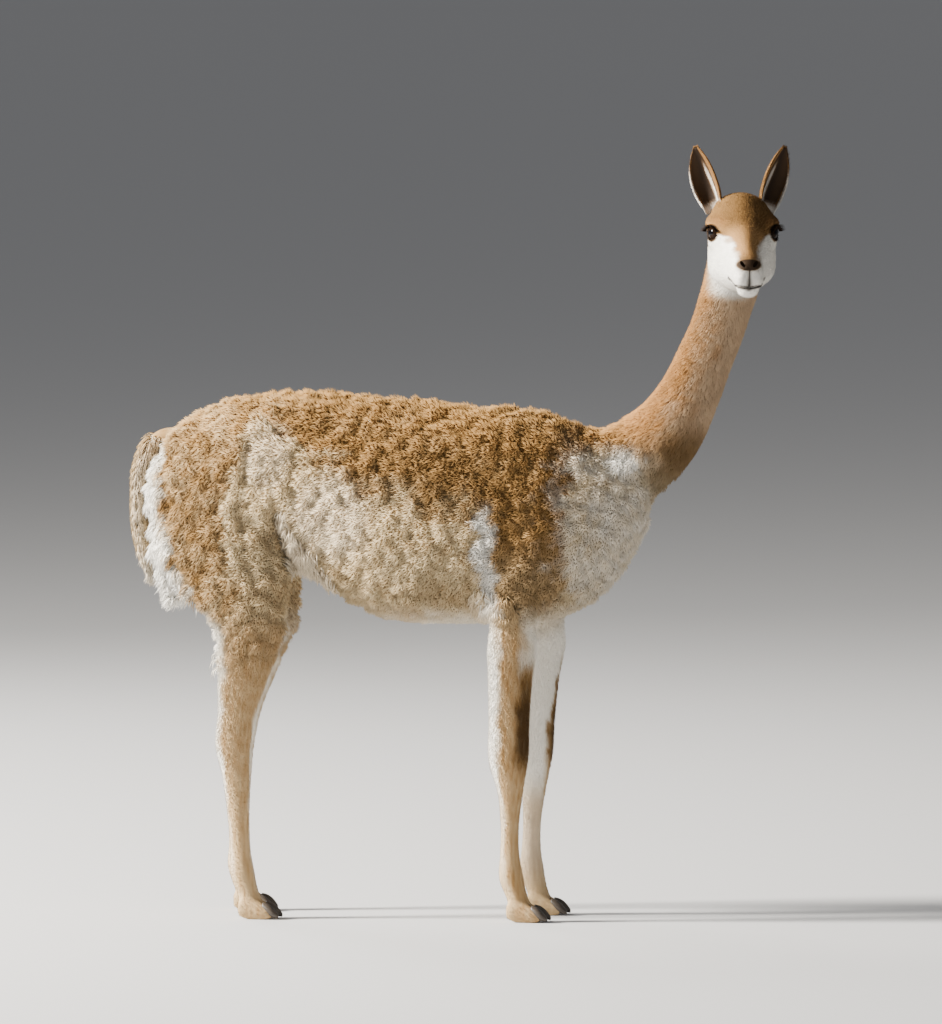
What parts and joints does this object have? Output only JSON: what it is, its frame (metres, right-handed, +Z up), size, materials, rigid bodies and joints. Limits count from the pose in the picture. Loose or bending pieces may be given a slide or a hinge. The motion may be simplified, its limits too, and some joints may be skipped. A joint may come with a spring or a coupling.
{
  "type": "vicuna",
  "caption": "Life-size standing vicuna as a still museum model, in woolly coat, with its long neck raised and its head turned to its right.",
  "frame": {"origin": "on the floor, under the middle of the whole model's bounding box", "axes": "+X the way the trunk faces, +Y to the animal's left, +Z up"},
  "size_m": [1.1252, 0.3792, 1.2868],
  "materials": {
    "coat_body": "dense crimped fleece, cinnamon above and off-white below",
    "coat_neck": "short dense coat, orange-brown",
    "coat_head": "short flat hair, tan crown and white cheeks",
    "coat_legs": "short flat hair, tan outside and white inside",
    "coat_tail": "loose woolly hair",
    "eye": "wet dark eye",
    "nail": "dark horn"
  },
  "bodies": {
    "root": {"ear_left": "coat_head", "ear_right": "coat_head", "eye_left": "eye", "eye_right": "eye", "foreleg_left": "coat_legs", "foreleg_right": "coat_legs", "head": "coat_head", "hindleg_lower_left": "coat_legs", "hindleg_lower_right": "coat_legs", "hindleg_upper_left": "coat_legs", "hindleg_upper_right": "coat_legs", "nail_foreleg_left_inner": "nail", "nail_foreleg_left_outer": "nail", "nail_foreleg_right_inner": "nail", "nail_foreleg_right_outer": "nail", "nail_hindleg_left_inner": "nail", "nail_hindleg_left_outer": "nail", "nail_hindleg_right_inner": "nail", "nail_hindleg_right_outer": "nail", "neck_lower": "coat_neck", "neck_upper": "coat_neck", "tail": "coat_tail", "torso": "coat_body"}
  },
  "joints": []
}
